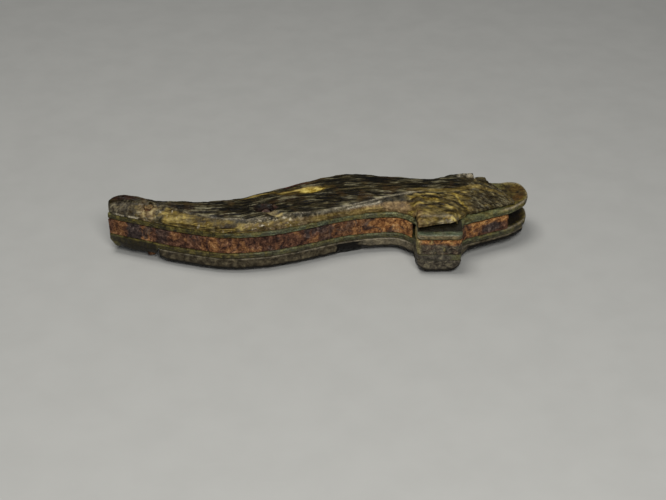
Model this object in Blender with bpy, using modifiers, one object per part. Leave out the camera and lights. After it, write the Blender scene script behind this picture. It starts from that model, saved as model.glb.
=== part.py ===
"""An old sailor's clasp knife, closed: two horn scales, two brass liners, a back spring, a lock lever and a blade.

The knife lies flat on its lower scale. +X runs from the tail to the toe, where the blade is hinged.
-Y is the spine, with the back spring and the thumb lug, and +Y is the belly, where the blade opens.
The origin is the centre of the bounding box, on the surface that the knife rests on.
All sizes and places below are in millimetres.
"""

import math

import bmesh
import bpy
from mathutils import Vector

MM = 0.001

# Layers, from the surface that the knife rests on upwards.
SCALE_THICKNESS = 4.0
LINER_THICKNESS = 1.5
STEEL_THICKNESS = 4.0
LAYER_GAP = 0.1
MOVING_GAP = 0.1

LOWER_LINER_Z = SCALE_THICKNESS + LAYER_GAP
STEEL_Z = LOWER_LINER_Z + LINER_THICKNESS + LAYER_GAP
STEEL_TOP_Z = STEEL_Z + STEEL_THICKNESS
STEEL_MIDDLE_Z = STEEL_Z + STEEL_THICKNESS / 2
UPPER_LINER_Z = STEEL_TOP_Z + LAYER_GAP
UPPER_LINER_TOP_Z = UPPER_LINER_Z + LINER_THICKNESS
UPPER_SCALE_Z = UPPER_LINER_TOP_Z + LAYER_GAP
TOP_Z = UPPER_SCALE_Z + SCALE_THICKNESS

# Outline of the handle, seen from above. Smooth curves pass through these points.
SPINE_POINTS = [
    (-52.25, -3.2), (-48.0, -5.0), (-42.5, -7.0), (-36.5, -9.3), (-30.5, -11.1), (-24.5, -12.6),
    (-19.5, -12.8), (-12.5, -11.8), (-6.5, -9.9), (-0.5, -7.5), (5.5, -5.0), (11.5, -3.6),
    (17.5, -2.95), (20.5, -3.7), (22.5, -5.6),
]
SOLE_POINTS = [(34.5, -8.4), (35.7, -6.5), (39.0, -4.9), (42.5, -3.2), (46.9, -1.2), (49.2, 0.7)]
TOE_POINTS = [
    (49.2, 0.7), (51.2, 3.0), (52.25, 6.6), (51.8, 10.4), (50.4, 12.6), (48.3, 13.1), (45.9, 12.6),
]
BELLY_POINTS = [
    (45.9, 12.6), (39.5, 12.3), (34.5, 11.6), (28.5, 9.9), (23.5, 9.9), (15.5, 11.0), (9.3, 12.2),
    (3.5, 11.3), (-4.0, 7.8), (-12.5, 3.3), (-20.0, -0.2), (-27.0, -1.8), (-35.5, -1.8),
    (-41.5, -0.9), (-47.5, 1.1), (-51.5, 1.6),
]
SAMPLES_PER_SPAN = 4

# Thumb lug on the spine, just behind the hinge.
LUG_LEFT = 23.5
LUG_RIGHT = 34.3
LUG_FRONT = -12.9
LUG_CORNER = 1.0
LUG_PROUD = 0.2

# Hinge of the blade, pin of the lock lever, and the two pins that hold the handle together.
PIVOT = (41.9, 6.0)
LEVER_PIN = (35.1, -2.6)
CENTRE_PIN = (-13.0, -7.1)
BUTT_PIN = (-41.7, -4.8)
PIVOT_RADIUS = 1.5
LEVER_PIN_RADIUS = 1.0
PIN_RADIUS = 1.1
PIN_CLEARANCE = 0.08
PIN_ROUNDING = 0.3
PIN_END_INSET = 0.3
BUTT_PIN_LOW = 0.9
CIRCLE_STEPS = 24

# Tang and lock. The lever's tooth rides just off the round tang, and faces its notch when the blade is open.
TANG_RADIUS = 5.0
TOOTH_GAP = 0.3
TOOTH_DEPTH = 0.45
TOOTH_ANGLE = -55.0
TOOTH_HALF_WIDTH = 9.0
RELIEF_END_ANGLE = -130.0
LEVER_END_X = 46.8
NOTCH_DEPTH = 0.55
NOTCH_EXTRA_WIDTH = 3.0
BLADE_SHOULDER_X = 36.3
TANG_ROOT = [(36.3, 9.3), (36.3, 10.7), (31.5, 10.2), (30.0, 6.2), (31.5, 2.4), (36.1, 2.6)]
TANG_ROUND = (-120.0, 16)

# Blade, closed. Its back stands a little proud of the belly, and its edge faces the spring.
BLADE_BACK = [
    (BLADE_SHOULDER_X, 11.0), (28.0, 10.6), (18.0, 11.6), (9.0, 12.9), (0.5, 11.7),
    (-9.5, 7.4), (-20.0, 1.9), (-29.0, -2.4),
]
BLADE_EDGE = [
    (BLADE_SHOULDER_X, 2.1), (28.0, 1.9), (18.0, 1.8), (9.0, 0.6), (0.5, -0.9),
    (-9.5, -2.2), (-20.0, -2.9), (-29.0, -3.2),
]
BLADE_ROOT_THICKNESS = 2.9
BLADE_TIP_THICKNESS = 1.3
EDGE_THICKNESS = 0.3
GRIND_SHARE = 0.6
GRIND_TAPER = 0.92
NAIL_NICK = (0.8, 10.5)
NAIL_NICK_SIZE = (9.0, 1.2, 1.8)
NAIL_NICK_DEPTH = 0.45
NAIL_NICK_TURN = 19.0

# Back spring. Its tip passes under the tail of the lock lever.
SPRING_SHOULDER_X = 22.8
SPRING_TIP = (30.0, -1.0)
SPRING_INNER = [
    (30.0, 0.9), (22.5, 1.0), (16.5, 0.8), (8.0, -0.8), (0.0, -3.2), (-7.0, -4.6), (-13.0, -4.9),
    (-20.0, -5.6), (-28.0, -6.4), (-34.0, -6.0), (-37.5, -4.0), (-38.5, -1.4),
]
LEVER_TAIL = [(30.7, 0.2), (30.7, -1.5), (LUG_LEFT, -2.2)]

# Horn scales. The upper one has lost its toe, and the lower one its tail and a bite of its edge.
SCALE_WALL = 1.1
LOWER_SCALE_WALL = 2.3
RIDGE_WIDTH = 2.5
LOWER_RIDGE_WIDTH = 1.8
HEAD_RIDGE_WIDTH = 5.0
HEAD_RIDGE_X = (14.0, 33.0)
LUG_RIDGE_WIDTH = 0.9
FAR_FACET = 1.6
MAX_RIDGE_SHARE = 0.42
MAX_FAR_SHARE = 0.3
CROWN_DROP = 0.5
TAIL_X = -51.2
TAIL_ROUNDING = 3.2
TAIL_HEIGHT_SHARE = 0.6
HEAD_THINNING_X = (37.0, 48.4)
HEAD_HEIGHT_SHARE = 0.3
HEAD_INSET = 1.3
HORN_LUG_FRONT = -8.9
BREAK_LINE = [(42.5, 12.1), (44.2, 10.9), (46.6, 6.0), (48.4, 0.9)]
LOWER_SCALE_X = (-39.6, 51.0)
BITE = [(4.4, -9.5), (9.6, -9.5), (9.0, -3.2), (5.4, -3.2)]
STATION_STEP = 2.5
LUG_SIDE_STEP = 0.15
DRILL_OVERSHOOT = 1.0


def smooth_line(points):
    """Points along a smooth curve through all the given ones (Catmull-Rom)."""
    padded = [points[0], *points, points[-1]]
    line = []
    for before, start, stop, after in zip(padded, padded[1:], padded[2:], padded[3:]):
        for step in range(SAMPLES_PER_SPAN):
            t = step / SAMPLES_PER_SPAN
            line.append(tuple(blend(*values, t) for values in zip(before, start, stop, after)))
    return [*line, points[-1]]


def blend(p, q, r, s, t):
    return 0.5 * (2 * q + (r - p) * t + (2 * p - 5 * q + 4 * r - s) * t**2 + (3 * q - p - 3 * r + s) * t**3)


def y_on(line, x):
    """Where a line that runs one way along X stands over x."""
    ordered = sorted(line)
    if x <= ordered[0][0]:
        return ordered[0][1]
    for (x0, y0), (x1, y1) in zip(ordered, ordered[1:]):
        if x <= x1:
            return y0 + (y1 - y0) * (x - x0) / max(x1 - x0, 1e-9)
    return ordered[-1][1]


def arc(centre, radius, start, stop, steps):
    """Points on an arc between two angles in degrees, both ends included."""
    angles = [math.radians(start + (stop - start) * i / steps) for i in range(steps + 1)]
    return [(centre[0] + radius * math.cos(a), centre[1] + radius * math.sin(a)) for a in angles]


def circle(centre, radius):
    return arc(centre, radius, 0.0, 360.0, CIRCLE_STEPS)[:-1]


def hole(centre, radius):
    return circle(centre, radius + PIN_CLEARANCE)


SPINE_LINE = smooth_line(SPINE_POINTS)
SOLE_LINE = smooth_line(SOLE_POINTS)
TOE_LINE = smooth_line(TOE_POINTS)
BELLY_LINE = smooth_line(BELLY_POINTS)
TOE_TIP = max(range(len(TOE_LINE)), key=lambda i: TOE_LINE[i][0])


def lug_line(proud=0.0):
    """The lug's front from its left flank to its right one, with round corners."""
    middle = LUG_FRONT + LUG_CORNER - proud
    left = arc((LUG_LEFT + LUG_CORNER, middle), LUG_CORNER, 180.0, 270.0, 3)
    right = arc((LUG_RIGHT - LUG_CORNER, middle), LUG_CORNER, 270.0, 360.0, 3)
    return [*left, *right]


def handle_outline():
    root = (LUG_LEFT, SPINE_LINE[-1][1] - 1.0)
    return [*SPINE_LINE, root, *lug_line(), *SOLE_LINE[:-1], *TOE_LINE[:-1], *BELLY_LINE]


def material(name, colour, roughness, metallic):
    made = bpy.data.materials.new(name)
    made.use_nodes = True
    shader = made.node_tree.nodes["Principled BSDF"]
    shader.inputs["Base Color"].default_value = (*colour, 1.0)
    shader.inputs["Roughness"].default_value = roughness
    shader.inputs["Metallic"].default_value = metallic
    return made


def place(mesh, name, surface, origin=(0.0, 0.0)):
    """Links a mesh as an object whose own origin stands at the given point of the plan."""
    corner = Vector((*origin, 0.0)) * MM
    for vertex in mesh.vertices:
        vertex.co -= corner
    mesh.materials.clear()
    mesh.materials.append(surface)
    part = bpy.data.objects.new(name, mesh)
    part.location = corner
    KNIFE.objects.link(part)
    return part


def plate(outline, holes, low, high):
    """A plate with holes between two heights: a filled 2D curve, extruded."""
    curve = bpy.data.curves.new("plate", "CURVE")
    curve.dimensions = "2D"
    curve.fill_mode = "BOTH"
    curve.extrude = (high - low) / 2 * MM
    for points in [outline, *holes]:
        spline = curve.splines.new("POLY")
        spline.points.add(len(points) - 1)
        spline.use_cyclic_u = True
        for point, (x, y) in zip(spline.points, points):
            point.co = (x * MM, y * MM, 0.0, 1.0)
    guide = bpy.data.objects.new("plate", curve)
    guide.location.z = (low + high) / 2 * MM
    bpy.context.scene.collection.objects.link(guide)
    bpy.context.view_layer.update()
    mesh = bpy.data.meshes.new_from_object(guide.evaluated_get(bpy.context.evaluated_depsgraph_get()))
    mesh.transform(guide.matrix_world)
    bpy.data.objects.remove(guide)
    cage = bmesh.new()
    cage.from_mesh(mesh)
    bmesh.ops.remove_doubles(cage, verts=cage.verts, dist=0.005 * MM)
    return finish_cage(cage, mesh)


def loft(sections):
    """A closed body through sections that have the same number of corners."""
    cage = bmesh.new()
    rings = [[cage.verts.new(Vector(corner) * MM) for corner in section] for section in sections]
    for ring, after in zip(rings, rings[1:]):
        for i in range(len(ring)):
            j = (i + 1) % len(ring)
            cage.faces.new((ring[i], ring[j], after[j], after[i]))
    cage.faces.new(rings[0])
    cage.faces.new(rings[-1])
    return finish_cage(cage, bpy.data.meshes.new("loft"))


def finish_cage(cage, mesh):
    bmesh.ops.recalc_face_normals(cage, faces=cage.faces)
    cage.to_mesh(mesh)
    cage.free()
    return mesh


def cutter(mesh, name):
    """Keeps a tool for a Boolean, hidden from renders."""
    tool = bpy.data.objects.new(name, mesh)
    tool.hide_render = True
    tool.display_type = "WIRE"
    CUTTERS.objects.link(tool)
    return tool


def combine(part, tool, operation):
    modifier = part.modifiers.new(tool.name, "BOOLEAN")
    modifier.operation = operation
    modifier.solver = "EXACT"
    modifier.object = tool


def drill(part, name, centre, radius, low, high):
    tool = cutter(plate(hole(centre, radius), [], low - DRILL_OVERSHOOT, high + DRILL_OVERSHOOT), name)
    combine(part, tool, "DIFFERENCE")


def make_liners():
    holes = [
        hole(PIVOT, PIVOT_RADIUS),
        hole(LEVER_PIN, LEVER_PIN_RADIUS),
        hole(CENTRE_PIN, PIN_RADIUS),
        hole(BUTT_PIN, PIN_RADIUS),
    ]
    for name, low in (("lower_liner", LOWER_LINER_Z), ("upper_liner", UPPER_LINER_Z)):
        place(plate(handle_outline(), holes, low, low + LINER_THICKNESS), name, BRASS)


def make_backspring():
    """Fills the tail, bears on the centre pin, and runs thin to a tip under the lock lever's tail."""
    back = [point for point in SPINE_LINE if point[0] <= SPINE_POINTS[-1][0]]
    front = [(SPRING_SHOULDER_X, SPINE_LINE[-1][1]), (SPRING_SHOULDER_X, SPRING_TIP[1]), SPRING_TIP]
    inner = smooth_line(SPRING_INNER)
    tail = [point for point in BELLY_LINE if point[0] < inner[-1][0] - 0.5]
    holes = [hole(CENTRE_PIN, PIN_RADIUS), hole(BUTT_PIN, PIN_RADIUS)]
    place(plate([*back, *front, *inner, *tail], holes, STEEL_Z, STEEL_TOP_Z), "backspring", IRON)


def make_lock_lever():
    """Rocks on its pin: pressing the lug at one end lifts the tooth at the other off the tang."""
    tooth_start = TOOTH_ANGLE - TOOTH_HALF_WIDTH
    tooth_end = TOOTH_ANGLE + TOOTH_HALF_WIDTH
    ride = TANG_RADIUS + TOOTH_GAP
    tooth = arc(PIVOT, ride, tooth_end, tooth_start, 3)
    relief = arc(PIVOT, ride + TOOTH_DEPTH, tooth_start, RELIEF_END_ANGLE, 6)
    sole = [point for point in SOLE_LINE[1:] if point[0] < LEVER_END_X - 0.3]
    end = [(LEVER_END_X, y_on(SOLE_LINE, LEVER_END_X)), (LEVER_END_X, tooth[0][1])]
    outline = [*lug_line(proud=LUG_PROUD), *sole, *end, *tooth, *relief, *LEVER_TAIL]
    mesh = plate(
        outline, [hole(LEVER_PIN, LEVER_PIN_RADIUS)], STEEL_Z + MOVING_GAP, STEEL_TOP_Z - MOVING_GAP
    )
    place(mesh, "lock_lever", IRON, LEVER_PIN)


def tang_outline():
    """The round tang with its lock notch, and the root that runs into the blade."""
    notch_middle = TOOTH_ANGLE + 180.0
    notch_half = TOOTH_HALF_WIDTH + NOTCH_EXTRA_WIDTH
    start, steps = TANG_ROUND
    round_side = arc(PIVOT, TANG_RADIUS, start, notch_middle - notch_half, steps)
    notch = arc(PIVOT, TANG_RADIUS - NOTCH_DEPTH, notch_middle - notch_half, notch_middle + notch_half, 3)
    return [*round_side, *notch, *TANG_ROOT]


def blade_section(x, back, edge, thickness):
    """A wedge across the blade: nearly parallel at the back, then ground down to the edge."""
    grind = edge + (back - edge) * GRIND_SHARE
    half, thin = thickness / 2, EDGE_THICKNESS / 2
    upper = [(edge, thin), (grind, half * GRIND_TAPER), (back, half)]
    lower = [(y, -z) for y, z in reversed(upper)]
    return [(x, y, STEEL_MIDDLE_Z + z) for y, z in [*upper, *lower]]


def make_blade():
    back, edge = smooth_line(BLADE_BACK), smooth_line(BLADE_EDGE)
    length = back[0][0] - back[-1][0]
    sections = []
    for (x, back_y), (_, edge_y) in zip(back, edge):
        share = (back[0][0] - x) / length
        thickness = BLADE_ROOT_THICKNESS + (BLADE_TIP_THICKNESS - BLADE_ROOT_THICKNESS) * share
        sections.append(blade_section(x, back_y, edge_y, thickness))
    blade = place(loft(sections), "blade", STEEL, PIVOT)
    tang = plate(tang_outline(), [], STEEL_Z + MOVING_GAP, STEEL_TOP_Z - MOVING_GAP)
    combine(blade, cutter(tang, "tang"), "UNION")
    drill(blade, "pivot_eye", PIVOT, PIVOT_RADIUS, STEEL_Z, STEEL_TOP_Z)
    combine(blade, nail_nick(), "DIFFERENCE")


def nail_nick():
    """A slim lens that leaves a nail nick in the blade's upper face, along its back."""
    bpy.ops.mesh.primitive_uv_sphere_add(segments=16, ring_count=8, radius=0.5 * MM)
    lens = bpy.context.object
    lens.name = "nail_nick"
    lens.hide_render = True
    lens.display_type = "WIRE"
    face = STEEL_MIDDLE_Z + BLADE_ROOT_THICKNESS / 2 - 0.3
    lens.scale = NAIL_NICK_SIZE
    lens.location = Vector((*NAIL_NICK, face + NAIL_NICK_SIZE[2] / 2 - NAIL_NICK_DEPTH)) * MM
    lens.rotation_euler.z = math.radians(NAIL_NICK_TURN)
    for collection in lens.users_collection:
        collection.objects.unlink(lens)
    CUTTERS.objects.link(lens)
    return lens


def ramp(x, span):
    """0 before a span of X, 1 after it, and straight in between."""
    return min(1.0, max(0.0, (x - span[0]) / (span[1] - span[0])))


def scale_edges(x, lug_front):
    """The spine and belly edges of a scale over x."""
    if x < LUG_LEFT:
        near = y_on(SPINE_LINE, x)
    elif x <= LUG_RIGHT:
        near = lug_front
    else:
        near = y_on([*SOLE_LINE, *TOE_LINE[: TOE_TIP + 1]], x)
    return near, y_on([*TOE_LINE[TOE_TIP:], *BELLY_LINE], x)


def scale_section(x, near, far, base, wall, face, crown, ridge_width):
    """Section of a scale: walls, the spine facet up to a ridge, the broad face, and the belly facet."""
    width = far - near
    ridge = near + min(ridge_width, MAX_RIDGE_SHARE * width)
    far_ridge = far - min(FAR_FACET, MAX_FAR_SHARE * width)
    corners = [(near, base), (near, wall), (ridge, face), (far_ridge, crown), (far, wall), (far, base)]
    return [(x, y, z) for y, z in corners]


def stations(start, stop):
    """Places along X for sections, with a pair at each flank of the lug."""
    count = math.ceil((stop - start) / STATION_STEP)
    even = [start + (stop - start) * i / count for i in range(count + 1)]
    clear = [x for x in even if min(abs(x - LUG_LEFT), abs(x - LUG_RIGHT)) > 4 * LUG_SIDE_STEP]
    flanks = [side + step for side in (LUG_LEFT, LUG_RIGHT) for step in (-LUG_SIDE_STEP, LUG_SIDE_STEP)]
    return sorted([*clear, *(x for x in flanks if start < x < stop)])


def make_upper_scale():
    """Rounded at the tail, and worn thin towards the break across the head."""
    sections = []
    for x in [TAIL_X, TAIL_X + 0.5, TAIL_X + 1.3, *stations(TAIL_X + TAIL_ROUNDING, BREAK_LINE[-1][0])]:
        near, far = scale_edges(x, HORN_LUG_FRONT)
        tail = 1.0 - ramp(x, (TAIL_X, TAIL_X + TAIL_ROUNDING))
        corner = TAIL_ROUNDING / 2 * (1.0 - math.sqrt(1.0 - tail**2))
        if x > LUG_RIGHT:
            near += HEAD_INSET
        far = max(min(far, y_on(BREAK_LINE, x)) - corner, near + 1.0)
        share = 1.0 - (1.0 - TAIL_HEIGHT_SHARE) * tail**2
        share -= (1.0 - HEAD_HEIGHT_SHARE) * ramp(x, HEAD_THINNING_X)
        top = UPPER_SCALE_Z + SCALE_THICKNESS * share
        width = RIDGE_WIDTH + (HEAD_RIDGE_WIDTH - RIDGE_WIDTH) * ramp(x, HEAD_RIDGE_X)
        wall = UPPER_SCALE_Z + min(SCALE_WALL, SCALE_THICKNESS * share / 2)
        crown = top - min(CROWN_DROP, SCALE_THICKNESS * share / 4)
        sections.append(scale_section(x, near + corner, far, UPPER_SCALE_Z, wall, top, crown, width))
    scale = place(loft(sections), "upper_scale", HORN)
    for name, centre in (("upper_centre_drill", CENTRE_PIN), ("upper_butt_drill", BUTT_PIN)):
        drill(scale, name, centre, PIN_RADIUS, UPPER_SCALE_Z, TOP_Z)


def make_lower_scale():
    """Flat underneath, with the full thickness of horn under the lug."""
    sections = []
    for x in stations(*LOWER_SCALE_X):
        near, far = scale_edges(x, LUG_FRONT)
        width = LOWER_RIDGE_WIDTH + (HEAD_RIDGE_WIDTH - LOWER_RIDGE_WIDTH) * ramp(x, HEAD_RIDGE_X)
        if LUG_LEFT < x < LUG_RIGHT:
            width = LUG_RIDGE_WIDTH
        wall = SCALE_THICKNESS - LOWER_SCALE_WALL
        sections.append(scale_section(x, near, far, SCALE_THICKNESS, wall, 0.0, 0.0, width))
    scale = place(loft(sections), "lower_scale", HORN)
    for name, centre, radius in (
        ("lower_centre_drill", CENTRE_PIN, PIN_RADIUS),
        ("lower_pivot_drill", PIVOT, PIVOT_RADIUS),
    ):
        drill(scale, name, centre, radius, 0.0, SCALE_THICKNESS)
    bite = plate(BITE, [], -DRILL_OVERSHOOT, SCALE_THICKNESS + DRILL_OVERSHOOT)
    combine(scale, cutter(bite, "bite"), "DIFFERENCE")


def make_pin(name, centre, radius, low, high):
    """A round pin with its ends hammered round."""
    bpy.ops.mesh.primitive_cylinder_add(
        vertices=CIRCLE_STEPS,
        radius=radius * MM,
        depth=(high - low) * MM,
        location=(centre[0] * MM, centre[1] * MM, (low + high) / 2 * MM),
    )
    pin = bpy.context.object
    pin.name = name
    pin.data.materials.append(IRON)
    rounding = pin.modifiers.new("rounding", "BEVEL")
    rounding.width = PIN_ROUNDING * MM
    rounding.segments = 2
    rounding.limit_method = "ANGLE"
    rounding.angle_limit = math.radians(60.0)
    for collection in pin.users_collection:
        collection.objects.unlink(pin)
    KNIFE.objects.link(pin)


def make_pins():
    """The centre and butt pins go through the handle; the hinge pins end at the upper liner."""
    top = TOP_Z - CROWN_DROP - PIN_END_INSET
    make_pin("centre_pin", CENTRE_PIN, PIN_RADIUS, PIN_END_INSET, top)
    make_pin("butt_pin", BUTT_PIN, PIN_RADIUS, BUTT_PIN_LOW, top)
    make_pin("blade_pin", PIVOT, PIVOT_RADIUS, PIN_END_INSET, UPPER_LINER_TOP_Z)
    make_pin("lever_pin", LEVER_PIN, LEVER_PIN_RADIUS, LOWER_LINER_Z, UPPER_LINER_TOP_Z)


for leftover in list(bpy.data.objects):
    bpy.data.objects.remove(leftover)
KNIFE = bpy.data.collections.new("clasp_knife")
CUTTERS = bpy.data.collections.new("cutters")
for group in (KNIFE, CUTTERS):
    bpy.context.scene.collection.children.link(group)

HORN = material("horn", (0.10, 0.085, 0.05), 0.45, 0.0)
BRASS = material("verdigris_brass", (0.19, 0.21, 0.12), 0.55, 0.5)
IRON = material("rusted_iron", (0.22, 0.09, 0.045), 0.85, 0.2)
STEEL = material("pitted_steel", (0.13, 0.10, 0.08), 0.6, 0.6)

make_liners()
make_backspring()
make_lock_lever()
make_blade()
make_upper_scale()
make_lower_scale()
make_pins()
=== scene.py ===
"""Looks of an old sailor's clasp knife: weathered horn scales, verdigris brass liners and rusted iron.

Each visible piece is rebuilt on its CAD outline as a dense solid and worn by noise. Lengths are in
millimetres inside the helpers, and in metres on the finished pieces.
"""

import math
from types import SimpleNamespace

import bmesh
import bpy
import numpy as np
from mathutils import Matrix, Vector


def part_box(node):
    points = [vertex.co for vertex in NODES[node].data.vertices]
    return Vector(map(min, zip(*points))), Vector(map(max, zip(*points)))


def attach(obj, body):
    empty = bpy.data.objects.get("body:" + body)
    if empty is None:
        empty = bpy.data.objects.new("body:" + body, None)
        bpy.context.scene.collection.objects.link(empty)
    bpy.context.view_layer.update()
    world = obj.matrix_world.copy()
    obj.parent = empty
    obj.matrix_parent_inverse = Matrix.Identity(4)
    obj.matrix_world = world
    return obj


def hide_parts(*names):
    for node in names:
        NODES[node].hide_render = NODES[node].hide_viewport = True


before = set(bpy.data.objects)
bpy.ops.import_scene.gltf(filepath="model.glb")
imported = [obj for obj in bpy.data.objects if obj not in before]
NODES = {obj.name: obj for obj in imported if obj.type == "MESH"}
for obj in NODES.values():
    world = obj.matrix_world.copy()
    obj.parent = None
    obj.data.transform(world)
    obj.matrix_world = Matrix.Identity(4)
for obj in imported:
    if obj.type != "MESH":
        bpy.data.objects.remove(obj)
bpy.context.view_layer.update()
MM = 0.001


def level(node):
    """Lowest and highest z of a CAD node, in mm."""
    low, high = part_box(node)
    return low.z / MM, high.z / MM


# Levels of the layers, and places of the lug, the tail and the toe, in mm.
LOWER_SCALE = level("lower_scale")
SPRING_TOP = level("backspring")[1]
UPPER_SCALE = level("upper_scale")
LUG_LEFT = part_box("lock_lever")[0].x / MM
LUG_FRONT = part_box("lock_lever")[0].y / MM
LUG_WIDTH = 10.8
LUG_RIGHT = LUG_LEFT + LUG_WIDTH
LUG_MIDDLE = LUG_LEFT + LUG_WIDTH / 2
LUG_SHIFT = 0.5
TAIL_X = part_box("upper_liner")[0].x / MM
TOE_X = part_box("upper_liner")[1].x / MM

# Spacing of the outlines' points, and sizes of the rebuilt faces, in mm.
OUTLINE_STEP = 0.35
FINE_OUTLINE_STEP = 0.3
FINE_FACE = 0.2
PLATE_FACE = 0.22
PIN_FACE = 0.12


# ---- Noise ----

# Brings the noise out to about -1 and 1.
NOISE_REACH = 1.6


def gradient_noise(points, seed):
    """Perlin noise, about -1 to 1, at an (n, 3) array of points."""
    draw = np.random.default_rng(seed)
    table = draw.permutation(256)
    slopes = draw.normal(size=(256, 3))
    slopes /= np.linalg.norm(slopes, axis=1)[:, None]
    cell = np.floor(points).astype(int)
    inside = points - cell
    fade = inside**3 * (inside * (inside * 6 - 15) + 10)
    total = np.zeros(len(points))
    for corner in np.ndindex(2, 2, 2):
        at = (cell + corner) & 255
        key = table[(table[(table[at[:, 0]] + at[:, 1]) & 255] + at[:, 2]) & 255]
        weight = np.prod(np.where(corner, fade, 1 - fade), axis=1)
        total += weight * ((inside - corner) * slopes[key]).sum(1)
    return total * NOISE_REACH


def noise(points, scale, seed, octaves=4, gain=0.5):
    """Layers of noise, each twice as fine as the last. scale is in cycles per mm."""
    total, size = np.zeros(len(points)), 1.0
    for octave in range(octaves):
        total += size * gradient_noise(points * (np.array(scale) * 2.0**octave), seed + octave)
        size *= gain
    return total


def rise(value, low, high):
    """A soft step from 0 at low to 1 at high."""
    t = np.clip((value - low) / (high - low), 0.0, 1.0)
    return t * t * (3 - 2 * t)


def fall(value, low, high):
    """A soft step from 1 at low to 0 at high."""
    return 1 - rise(value, low, high)


def band(value, low, high, soft):
    """1 between low and high, with soft ends outside them."""
    return rise(value, low - soft, low) * fall(value, high, high + soft)


def peak(value, centre, width):
    """1 at the centre, fading to 0 within about twice the width."""
    return np.exp(-(((value - centre) / width) ** 2))


def blob(x, y, centre, size, turn=0.0, soft=0.35):
    """1 inside a turned ellipse of the given half sizes."""
    a = math.radians(turn)
    dx, dy = x - centre[0], y - centre[1]
    along = (dx * math.cos(a) + dy * math.sin(a)) / size[0]
    across = (-dx * math.sin(a) + dy * math.cos(a)) / size[1]
    return fall(np.hypot(along, across), 1 - soft, 1 + soft)


def over(table, x):
    """A value read off a table of (x, value) pairs."""
    xs, values = zip(*table)
    return np.interp(x, xs, values)


def in_plan(x, y):
    """Points for noise that is the same at every height."""
    return np.column_stack([x, y, np.zeros(len(x))])


def turned(x, y, angle):
    """Points of the plan, turned by an angle in degrees."""
    a = math.radians(angle)
    return in_plan(x * math.cos(a) + y * math.sin(a), -x * math.sin(a) + y * math.cos(a))


def clipped(masks):
    """Masks say where each colour goes, from 0 to 1."""
    return {name: np.clip(values, 0, 1) for name, values in masks.items()}


def line_gap(x, y, points):
    """Signed distance to a polyline in plan, positive on its right side."""
    best, side = np.full(len(x), 1e9), np.zeros(len(x))
    for (x0, y0), (x1, y1) in zip(points, points[1:]):
        run = np.array([x1 - x0, y1 - y0])
        t = np.clip(((x - x0) * run[0] + (y - y0) * run[1]) / (run @ run), 0, 1)
        gap = np.hypot(x - x0 - t * run[0], y - y0 - t * run[1])
        cross = run[0] * (y - y0) - run[1] * (x - x0)
        closer = gap < best
        best, side = np.where(closer, gap, best), np.where(closer, -np.sign(cross), side)
    return best * side


# ---- Solids ----


def section(node, height):
    """Outlines of a CAD node at a height, the outer one first."""
    cage = bmesh.new()
    cage.from_mesh(NODES[node].data)
    bmesh.ops.scale(cage, vec=(1 / MM,) * 3, verts=cage.verts)
    bmesh.ops.remove_doubles(cage, verts=cage.verts, dist=0.002)
    bmesh.ops.bisect_plane(
        cage,
        geom=[*cage.verts, *cage.edges, *cage.faces],
        plane_co=(0, 0, height),
        plane_no=(0, 0, 1),
        clear_inner=True,
        clear_outer=True,
    )
    bmesh.ops.remove_doubles(cage, verts=cage.verts, dist=0.01)
    cage.verts.ensure_lookup_table()
    used, loops = set(), []
    for start in cage.verts:
        if start.index in used:
            continue
        loop, here = [], start
        while here is not None:
            used.add(here.index)
            loop.append((here.co.x, here.co.y))
            ahead = [e.other_vert(here) for e in here.link_edges]
            here = next((v for v in ahead if v.index not in used), None)
        if len(loop) > 5:
            loops.append(np.array(loop))
    cage.free()
    return sorted(loops, key=lambda loop: -np.ptp(loop[:, 0]))


def resample(loop, step):
    """The same closed outline with evenly spaced points."""
    closed = np.vstack([loop, loop[:1]])
    run = np.concatenate([[0], np.cumsum(np.hypot(*np.diff(closed, axis=0).T))])
    at = np.linspace(0, run[-1], max(12, round(run[-1] / step)), endpoint=False)
    return np.column_stack([np.interp(at, run, closed[:, i]) for i in (0, 1)])


def wobble(loop, amount, seed, scale=0.35):
    """Pushes an outline in and out a little along its own normal."""
    ahead, behind = np.roll(loop, -1, 0), np.roll(loop, 1, 0)
    normal = np.column_stack([ahead[:, 1] - behind[:, 1], behind[:, 0] - ahead[:, 0]])
    normal /= np.maximum(np.linalg.norm(normal, axis=1), 1e-6)[:, None]
    return loop + normal * (amount * noise(in_plan(*loop.T), scale, seed, 3))[:, None]


def outlines(node, height, step=OUTLINE_STEP):
    """A CAD node's outer outline and its holes, with even points."""
    outer, *holes = section(node, height)
    return resample(outer, step), [resample(hole, OUTLINE_STEP) for hole in holes]


def near_and_far(loop, x):
    """The lowest and highest y of an outline at each x."""
    places = np.arange(loop[:, 0].min() + 0.05, loop[:, 0].max(), 0.2)
    x0, y0 = loop.T
    x1, y1 = np.roll(loop, -1, 0).T
    near, far = np.full(len(places), 1e9), np.full(len(places), -1e9)
    for i, place in enumerate(places):
        hit = (np.minimum(x0, x1) <= place) & (np.maximum(x0, x1) > place)
        at = y0[hit] + (y1[hit] - y0[hit]) * (place - x0[hit]) / (x1[hit] - x0[hit])
        near[i], far[i] = at.min(), at.max()
    return np.interp(x, places, near), np.interp(x, places, far)


def new_object(name, data):
    made = bpy.data.objects.new(name, data)
    bpy.context.scene.collection.objects.link(made)
    return made


def made_mesh(guide):
    """The mesh that an object comes to. The object is removed."""
    bpy.context.view_layer.update()
    mesh = bpy.data.meshes.new_from_object(guide.evaluated_get(bpy.context.evaluated_depsgraph_get()))
    bpy.data.objects.remove(guide)
    return mesh


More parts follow.
